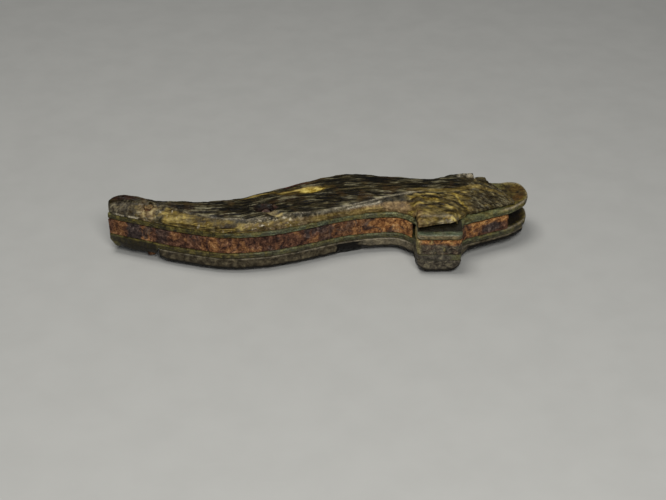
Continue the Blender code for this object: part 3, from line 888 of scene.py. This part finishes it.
def horn_masks(h):
    h.wx, h.wy = h.x + 0.9 * h.nibble, h.y + 0.45 * h.fine
    h.up = (h.y - h.near) / np.maximum(h.ridge - h.near, 0.5)
    h.grain = lug_grain(h.x, h.y)
    h.lug_top = band(h.wx, 22.5, 37.0, 1.8) * fall(h.y - h.ridge, -0.8, -0.1)
    h.lug_top = h.lug_top * fall(h.x, 35, 38)
    return clipped({
        "facet": h.facet,
        "streak": h.streak,
        "amber": amber_mask(h),
        "tan": tan_mask(h),
        "stain": stain_mask(h),
        "bright": mark(h, *BRIGHT)
        + mark(h, (31.4, -9.6), (2.2, 0.9), 8) * (0.8 + 0.5 * h.fine)
        + mark(h, (34.2, -0.8), (3.2, 0.4), -46) * 0.6
        + mark(h, (27.0, -1.2), (4.0, 0.45), -20) * 0.6,
        "rust": mark(h, *PIN_HOLLOW, 0.3)
        + mark(h, (-8.0, 4.2), (5.5, 0.5), 20) * 0.8
        + mark(h, (-46, -1.6), (5, 1.2), -6) * 0.3,
        "pale": pale_wear_and_highlight_mask(h),
        "crust": band(h.x, -51.5, -45.5, 1.0) * h.facet * 0.7 + h.hatch_zone * 0.15,
        "depth": painted_shade_mask(h),
    })


def make_upper_scale():
    """The upper scale: facet, ridge and crown, with a broken end."""
    low, high = UPPER_SCALE
    outer, holes = outlines("upper_scale", low + 0.25)
    outer = wobble(outer, 0.16, 11)
    mesh = dense_plate([outer, *holes], low, high, FINE_FACE)
    points, normals = read(mesh)
    x, y, z = points.T.copy()
    near, far = near_and_far(outer, x)
    height, ridge_y = horn_height(x, y, near, far)
    h = SimpleNamespace(x=x, y=y, near=near, far=far, ridge=ridge_y)
    h.share = np.clip((z - low) / (high - low), 0, 1)
    h.facet = fall(y - ridge_y, -0.2, 0.1) * fall(x, 33.0, 39.0)
    h.gap = line_gap(x, y, BREAK_LINE)
    add_fibres(h)
    add_relief(h)
    height = broken_end(h, height + h.relief)
    lift = lug_lift(h)
    flow = np.column_stack([x, h.across, z])
    wear_plan(h, z, normals)
    worn = np.column_stack([h.x, h.y, low + lift + h.share * (height - lift * 0.8)])
    h.nibble, h.fine = noise(worn, 0.3, 101, 3), noise(worn, 0.75, 103, 3)
    h.glint = noise(worn, 1.5, 107, 2)
    masks = horn_masks(h)
    masks["flow"] = flow
    finish_piece(mesh, worn, "upper_scale", "handle", HORN, masks)


# ---- Lower scale ----

BITE = (4.0, 10.2)
WALL_UNDER = [
    (-40, 2.2), (-20, 2.5), (3.9, 2.5), (4.9, 0.8), (8.2, 0.9), (12.0, 1.9), (21, 2.0), (24, 2.7),
    (34, 2.7), (35.5, 1.6), (38, 1.0), (52, 0.8),
]
BEVEL_UNDER = [
    (-40, 1.8), (3.9, 1.8), (4.9, 2.0), (9.4, 2.0), (12, 2.6), (22, 3.0), (34, 3.4), (38, 4.6), (52, 4.6),
]
FAR_BEVEL_UNDER = 1.7
CORNER_ROUND = 3.0


def mend_bite(loop):
    """Bridges the bite, which only takes the lower half of the wall."""
    inside = (loop[:, 0] > BITE[0]) & (loop[:, 0] < BITE[1]) & (loop[:, 1] < 0)
    ends = [loop[(np.abs(loop[:, 0] - x) < 0.4) & (loop[:, 1] < 0)].min(0)[1] for x in BITE]
    loop[inside, 1] = np.interp(loop[inside, 0], BITE, ends)
    return loop


def lower_height(h, start):
    """Thickness of the lower scale: a wall, rounded under."""
    full = LOWER_SCALE[1] - LOWER_SCALE[0]
    wall = over(WALL_UNDER, h.x + 0.3 * h.nibble)
    bevel = over(BEVEL_UNDER, h.x) * (1 - 0.45 * h.lug)
    up = np.clip((h.y - h.near) / bevel, 0, 1)
    down = np.clip((h.far - h.y) / FAR_BEVEL_UNDER, 0, 1)
    height = wall + (full - wall) * np.minimum(up**0.7, down**0.8)
    height *= 0.8 + 0.2 * rise(h.x - start, 0.25, 2.05)
    fibres = 0.07 * noise(in_plan(h.x, h.y), (0.3, 1.6, 1.0), 23, 4, 0.6)
    return np.minimum(height + fibres, full)


def lower_masks(h):
    top_edge = peak(h.z, LOWER_SCALE[1] - 0.15, 0.2)
    bite = rise(h.x, 3.8, 4.4) * fall(h.x + h.nibble, 8.4, 10.4) * (h.y < 0)
    worn_stretch = band(h.x, 11, 22, 2)
    return clipped({
        "facet": 0.8 + 0.3 * h.nibble,
        # Stained all over, darker towards the bottom, and less on the worn stretch.
        "stain": np.clip(0.55 + 0.2 * h.nibble + 0.3 * h.share, 0, 0.85) * (1 - 0.75 * worn_stretch),
        "tan": np.full(len(h.x), 0.1),
        "amber": blob(h.x, h.y, (32.8, LUG_FRONT), (1.6, 2.5)) * rise(h.z, 3.0, 3.7),
        "rust": h.lug * rise(h.x, 31, 33.5) * h.share * 0.5,
        "crust": 0.3 + h.lug * 0.7 + 0.1 * h.nibble,
        "pale": top_edge * rise(h.nibble, -0.9, 0.3) * 0.4 * (1 - h.lug) + 0.2 * worn_stretch,
        # Painted shade: darkest low on the scale, reaching higher on the toe's near side, and inside the
        # bite.
        "depth": rise(h.share, 0.72, 1.0) * 0.8
        + rise(h.x, 35.5, 37.5) * rise(h.share, 0.3, 0.5) * rise(h.far - h.y, 1.5, 3.0)
        + bite * rise(h.share, 0.05, 0.2),
    })


def make_lower_scale():
    """The lower scale: a wall under the liner, rounded under."""
    low, high = LOWER_SCALE
    outer, holes = outlines("lower_scale", high - 0.6)
    outer = wobble(mend_bite(outer), 0.12, 13)
    mesh = dense_plate([outer, *holes], low, high, PLATE_FACE)
    points, normals = read(mesh)
    x, y, z = points.T.copy()
    near, far = near_and_far(outer, x)
    h = SimpleNamespace(x=x, y=y, z=z, near=near, far=far)
    h.share = np.clip((high - z) / (high - low), 0, 1)
    h.lug = band(x, LUG_LEFT - 0.3, LUG_RIGHT + 0.1, 0.3) * (y < -3)
    h.nibble = noise(points, 0.4, 103, 3)
    height = lower_height(h, outer[:, 0].min())
    push = (0.06 + 0.08 * h.lug) * noise(points, (0.5, 0.5, 1.4), 83, 4) - 0.1 * h.lug * h.share
    h.x, h.y = pushed(x, y, normals, sides(normals) * push)
    # The lug's lower corners are worn round.
    past_end = np.clip((np.abs(h.x - LUG_MIDDLE) - LUG_WIDTH / 2 + CORNER_ROUND) / CORNER_ROUND, 0, 1)
    corner = past_end**2 * fall(h.y, LUG_FRONT + 2.5, LUG_FRONT + 5.5) * h.lug
    h.y = stand_out(h.y, h.lug) + 0.6 * corner * h.share
    masks = lower_masks(h)
    masks["flow"] = np.column_stack([h.x, h.y, z])
    worn = np.column_stack([h.x, h.y, high - h.share * height + h.share * 1.7 * corner])
    finish_piece(mesh, worn, "lower_scale", "handle", HORN, masks)


# ---- Liners ----

# How green the liners are over x, and the dished place at the toe.
EDGE_GREEN = [
    (-52, 0.5), (-40, 0.35), (-24, 0.3), (-12, 0.9), (6, 1.0), (22, 0.95), (34, 1.0), (47, 0.9), (50, 0.4),
    (53, 0.15),
]
DISH = ((48.2, 7.4), (3.4, 4.4), -24.0)


def shape_upper_liner(h):
    """A dished toe, and a rolled front edge on the lug."""
    h.dish = blob(h.x, h.y, *DISH, soft=0.3)
    h.z = h.z - 0.4 * h.dish * (h.normal_z > 0.3)
    h.z = h.z + 0.12 * h.front * (h.above > 0) - 0.1 * h.front * (h.above < 0)
    h.y = h.y - 0.15 * h.front


def shape_lower_liner(h, points, seed):
    """Dirt grown on the lug, and a crust under the tail, where the horn is gone."""
    h.tail = fall(h.x, -40.4, -39.6) * rise(h.x, TAIL_X - 0.6, TAIL_X + 1.6) * (h.y < 0.5)
    under = h.tail * (h.above < 0) * (0.5 + 0.5 * rise(h.rim, -0.1, 0.5))
    h.z = h.z - under * (1.9 + 0.3 * noise(points * (1, 1, 0), 0.5, seed + 9, 2))
    h.crust = h.lug * h.side * fall(h.x, 31.0, 32.5) + 0.2 * h.side


def liner_dirt_and_painted_shade(h, upper, low):
    """Dark marks: painted shade under the lug's lifted horn, along the foot of the rolled edge and inside
    the toe's mouth; dirt in the dish and in patches; darker sides, and darker low on the crust under the
    tail.
    """
    if upper:
        # Painted shade on the liner under the lug's lifted horn.
        gaps = h.lug * h.face * rise(h.y, LUG_FRONT + 0.7, LUG_FRONT + 1.5)
        edges = 0.6 * band(h.x, -53, -24, 5) * h.side * (0.55 + 0.7 * h.nibble)
        # Painted shade along the foot of the lug's rolled edge.
        edges = edges + h.front * h.side * peak(h.z, low, 0.3) * 0.9
    else:
        # Painted shade inside the toe's mouth.
        gaps = h.face * rise(h.x, 44, 46) * rise(h.rim, 1.0, 2.0)
        edges = 0.3 * h.side * (1 - h.lug)
    return (
        gaps
        + edges
        + h.dish * 0.4
        + 0.5 * h.tail * h.side * rise(h.x, -51.0, -47.0)
        + 0.95 * h.tail * rise(low - h.z, 0.1, 0.8) * rise(h.x, -50.5, -48.5)
        + 0.45 * rise(h.nibble, 0.2, 0.7)
    )


def liner_masks(h, upper, low, high):
    teal = (
        h.lug * h.face * (0.7 + 0.6 * h.nibble)
        + 0.8 * band(h.x, -22, 2, 3) * h.side * rise(h.nibble, -0.2, 0.3)
    )
    orange = (
        h.dish * (0.2 + 0.3 * rise(h.x + 0.4 * h.y, 51.2, 52.6))
        + blob(h.x, h.y, (49.6, 5.2), (1.2, 2.2), -20) * 0.6
    )
    # Painted highlight along the top of the lug's rolled edge; brighter brass at the lug's left end and
    # along the toe's rim.
    painted_highlight_and_bright_brass = (
        h.front * h.side * peak(h.z, high - 0.15, 0.13) * 0.95 * upper
        + h.lug * peak(h.x, LUG_LEFT, 0.9) * h.side * 0.3
        + 0.5 * h.toe * peak(h.rim, 0.5, 0.4) * h.face
    )
    return clipped({
        "green": over(EDGE_GREEN, h.x) * (0.8 + 0.5 * h.nibble) * (1 - 0.75 * h.toe * h.face),
        "teal": teal * upper,
        "brown": h.front * h.side * 0.95 * upper + 0.25 * rise(h.nibble, 0.2, 0.5),
        "orange": orange,
        "painted_highlight_and_bright_brass": painted_highlight_and_bright_brass,
        "crust": h.crust,
        "dirt_and_painted_shade": np.minimum(liner_dirt_and_painted_shade(h, upper, low), 0.95),
    })


def make_liner(node, seed):
    """A brass plate with rounded, slightly beaten edges."""
    low, high = level(node)
    upper = node == "upper_liner"
    outer, holes = outlines(node, (low + high) / 2)
    outer = wobble(outer, 0.07, seed, 0.5)
    mesh = dense_plate([outer, *holes], low, high, PLATE_FACE)
    points, normals = read(mesh)
    x, y, z = points.T.copy()
    near, far = near_and_far(outer, x)
    toe_rim = 1.2 * np.sqrt(np.clip(TOE_X + 0.2 - x, 0, None))
    zero = np.zeros(len(x))
    h = SimpleNamespace(normal_z=normals[:, 2], side=sides(normals), dish=zero, tail=zero, crust=zero)
    h.rim = np.minimum(np.minimum(y - near, far - y), toe_rim)
    h.above = np.sign(z - (low + high) / 2)
    grown_over = band(x, LUG_LEFT, LUG_RIGHT, 0.4) * (y < -6) * (not upper)
    z = z - h.above * (0.2 - 0.3 * grown_over) * peak(h.rim, 0.0, 0.3)
    h.x, h.y = pushed(x, y, normals, h.side * 0.06 * noise(points, 0.8, seed + 3, 4))
    h.z = z + 0.035 * noise(points * (1, 1, 0), 0.3, seed + 5, 3) * (h.above > 0)
    h.lug = band(h.x, LUG_LEFT, LUG_RIGHT, 0.4) * (h.y < -3)
    h.front = h.lug * peak(h.y, LUG_FRONT, 0.6)
    h.toe = rise(h.x, 44.0, 47.0)
    h.nibble = noise(points, 0.5, seed + 7, 3)
    h.face = rise(h.normal_z, 0.4, 0.9)
    if upper:
        shape_upper_liner(h)
    else:
        shape_lower_liner(h, points, seed)
    h.y = stand_out(h.y, h.lug)
    masks = liner_masks(h, upper, low, high)
    worn = np.column_stack([h.x, h.y, h.z])
    finish_piece(mesh, worn, node, "handle", BRASS, masks)


# ---- Iron ----


def rusty_masks(x, y, z, nibble, lug):
    wx = x + 0.8 * nibble
    depth = SPRING_TOP - z
    orange = (
        band(wx, -51.0, -48.3, 0.3) * 0.35
        + band(wx, -43.4, -41.8, 0.3) * 0.6
        + band(wx, -26.6, -24.8, 0.3) * 0.6
        + band(wx, 3.4, 23.0, 0.4) * (0.3 + 0.7 * rise(x, 6.0, 16.0)) * (0.85 + 0.4 * nibble)
        + band(wx, 35.5, 39.5, 0.8) * rise(nibble, -0.3, 0.1) * 0.8
        + band(x, 38.0, 47.5, 1.0) * rise(0.5 * nibble - depth, -1.6, -0.9)
        + lug * rise(0.3 * nibble - depth, -1.0, -0.6) * 0.9
    )
    dark = (
        band(wx, -47.4, -44.4, 0.4) * 0.9
        + band(wx, -39.5, -36.8, 0.5) * 0.6
        + band(wx, 0.0, 2.8, 0.3) * 0.6
        + band(wx, 6.6, 8.0, 0.3) * rise(-depth, -2.2, -1.4) * 0.6
        + blob(wx, z, (42.4, SPRING_TOP - 2.3), (2.4, 1.3)) * (y < 2) * 0.9
    )
    return clipped({
        "orange": orange,
        "dark": dark,
        "crust": lug * fall(0.4 * nibble - depth, -1.5, -0.9) * (0.95 + 0.3 * nibble),
        "gold": lug * peak(x, LUG_LEFT, 0.7) * 0.8 + lug * rise(nibble, 0.45, 0.65) * 0.5,
    })


def make_iron(node, body, seed):
    """A rusted piece between the liners. The lever's toe end slopes."""
    low, high = level(node)
    lever = node == "lock_lever"
    outer, holes = outlines(node, (low + high) / 2, FINE_OUTLINE_STEP)
    mesh = dense_plate([outer, *holes], low, high, FINE_FACE)
    points, normals = read(mesh)
    x, y, z = points.T.copy()
    side = sides(normals)
    hidden = rise(y, -1.0, 0.6) * (x > 20)
    lug = band(x, LUG_LEFT - 0.2, LUG_RIGHT + 0.2, 0.2) * (y < -4.5) * lever
    lumps = noise(points, 0.45, seed, 4, 0.6)
    pits = np.clip(noise(points, 1.3, seed + 9, 3) - 0.2, 0, None)
    push = side * (0.06 * lumps - 0.26 * pits - 0.04) * (1 - hidden)
    push = push + lug * side * np.clip(0.04 + 0.22 * lumps, -0.1, 0.16)
    x, y = pushed(x, y, normals, push)
    y = stand_out(y, lug)
    end = lever * rise(x, 45.2, 46.9) ** 2
    z = z - 0.7 * end * rise(z, low + 2.0, high)
    inset = 0.05 * np.clip(lumps, 0, 1)
    z = z - np.sign(z - (low + high) / 2) * inset * np.abs(normals[:, 2])
    masks = rusty_masks(x, y, z, noise(points, 0.6, seed + 5, 3, 0.6), lug)
    worn = np.column_stack([x, y, z])
    finish_piece(mesh, worn, node, body, RUST, masks)


def make_pin(node, lump, sunk, tan, seed):
    """A pin with lumpy ends, whose upper end can be sunk and tan."""
    mesh = dense(cad_mesh(node), PIN_FACE)
    points, normals = read(mesh)
    z = points[:, 2]
    low, high = z.min(), z.max()
    upper = rise(z, high - 0.6, high - 0.1)
    ends = np.maximum(rise(z, high - 0.5, high), fall(z, low, low + 0.5))
    amount = ends * lump * (0.5 + noise(points, 1.2, seed, 3)) - 0.02
    worn = points + normals * np.minimum(amount, lump)[:, None]
    worn[:, 2] -= sunk * upper
    zero = np.zeros(len(points))
    masks = {"orange": zero + 0.4 * tan, "dark": zero + 0.6 * (1 - tan), "gold": upper * tan * 0.5}
    finish_piece(mesh, worn, node, "handle", RUST, masks)


def make_blade():
    """The folding blade, pitted everywhere but on its tang."""
    mesh = dense(cad_mesh("blade"), FINE_FACE)
    points, normals = read(mesh)
    pits = np.clip(noise(points, 0.9, 201, 3) - 0.3, 0, None)
    tang = rise(points[:, 0], 30.0, 34.0)
    push = (0.02 * noise(points, 0.4, 211, 3) - 0.14 * pits - 0.03) * (1 - tang)
    worn = points + normals * push[:, None]
    finish_piece(mesh, worn, "blade", "blade", BLADE, {})


# ---- Stage ----


def make_floor():
    """A wide, pale, faintly scuffed floor."""
    s = Surface("pale_floor")
    scuff = s.grain(1.0, 5.0, 0.6, 0.4, s.stretched(s.place, (60.0, 320.0, 1.0)))
    dust = s.grain(90.0, 6.0, 0.6, 0.0, s.place)
    tone = s.ramp(dust, (0.35, 0.41, 0.41, 0.395), (0.65, 0.42, 0.42, 0.405))
    tone = s.mix(s.level(scuff, 0.62, 0.7, 0.0, 0.06), tone, (0.48, 0.48, 0.465))
    surface = s.finish(tone, s.level(dust, 0.35, 0.65, 0.55, 0.7), dust, 0.04, 0.1, specular=0.3)
    bpy.ops.mesh.primitive_grid_add(x_subdivisions=8, y_subdivisions=8, size=4.0)
    floor = bpy.context.object
    floor.name = "floor"
    floor.data.materials.append(surface)


def soft_light(name, place, target, size, power, colour):
    """A rectangular light that faces its target."""
    light = bpy.data.lights.new(name, "AREA")
    light.shape = "RECTANGLE"
    light.size, light.size_y = size
    light.energy = power
    light.color = colour
    lamp = new_object(name, light)
    lamp.location = place
    lamp.rotation_euler = (Vector(place) - Vector(target)).to_track_quat("Z", "Y").to_euler()


def make_studio():
    """Two soft lights, a weak fill, and a camera 32 degrees above the horizon."""
    world = bpy.data.worlds.new("studio")
    world.use_nodes = True
    background = world.node_tree.nodes["Background"]
    background.inputs["Color"].default_value = (0.9, 0.95, 1.0, 1.0)
    background.inputs["Strength"].default_value = 0.1
    scene = bpy.context.scene
    scene.world = world
    scene.view_settings.view_transform = "Standard"
    soft_light("overhead", (-0.1, -0.02, 0.5), (0.0, -0.03, 0.0), (0.22, 0.22), 1.28, (1.0, 0.98, 0.94))
    soft_light("front", (0.06, -0.32, 0.3), (0.0, -0.02, 0.0), (0.16, 0.16), 1.2, (1.0, 0.99, 0.96))
    camera = bpy.data.cameras.new("camera")
    camera.lens = 70.0
    camera.sensor_width = 36.0
    camera.clip_start = 0.01
    eye = new_object("camera", camera)
    scene.camera = eye
    target = Vector((3.2, -2.1, 0.0)) * MM
    elevation = math.radians(32.0)
    back = Vector((0.0, -math.cos(elevation), math.sin(elevation)))
    eye.location = target + back * 0.325
    eye.rotation_euler = back.to_track_quat("Z", "Y").to_euler()


make_studio()
make_floor()
make_upper_scale()
make_lower_scale()
make_liner("lower_liner", 301)
make_liner("upper_liner", 331)
make_iron("backspring", "handle", 401)
make_iron("lock_lever", "lock", 431)
make_pin("centre_pin", 0.08, 0.5, 0.0, 501)
make_pin("butt_pin", 0.2, 0.45, 0.5, 511)
make_blade()
for hinge_pin in ("blade_pin", "lever_pin"):
    NODES[hinge_pin].data.materials.clear()
    NODES[hinge_pin].data.materials.append(RUST)
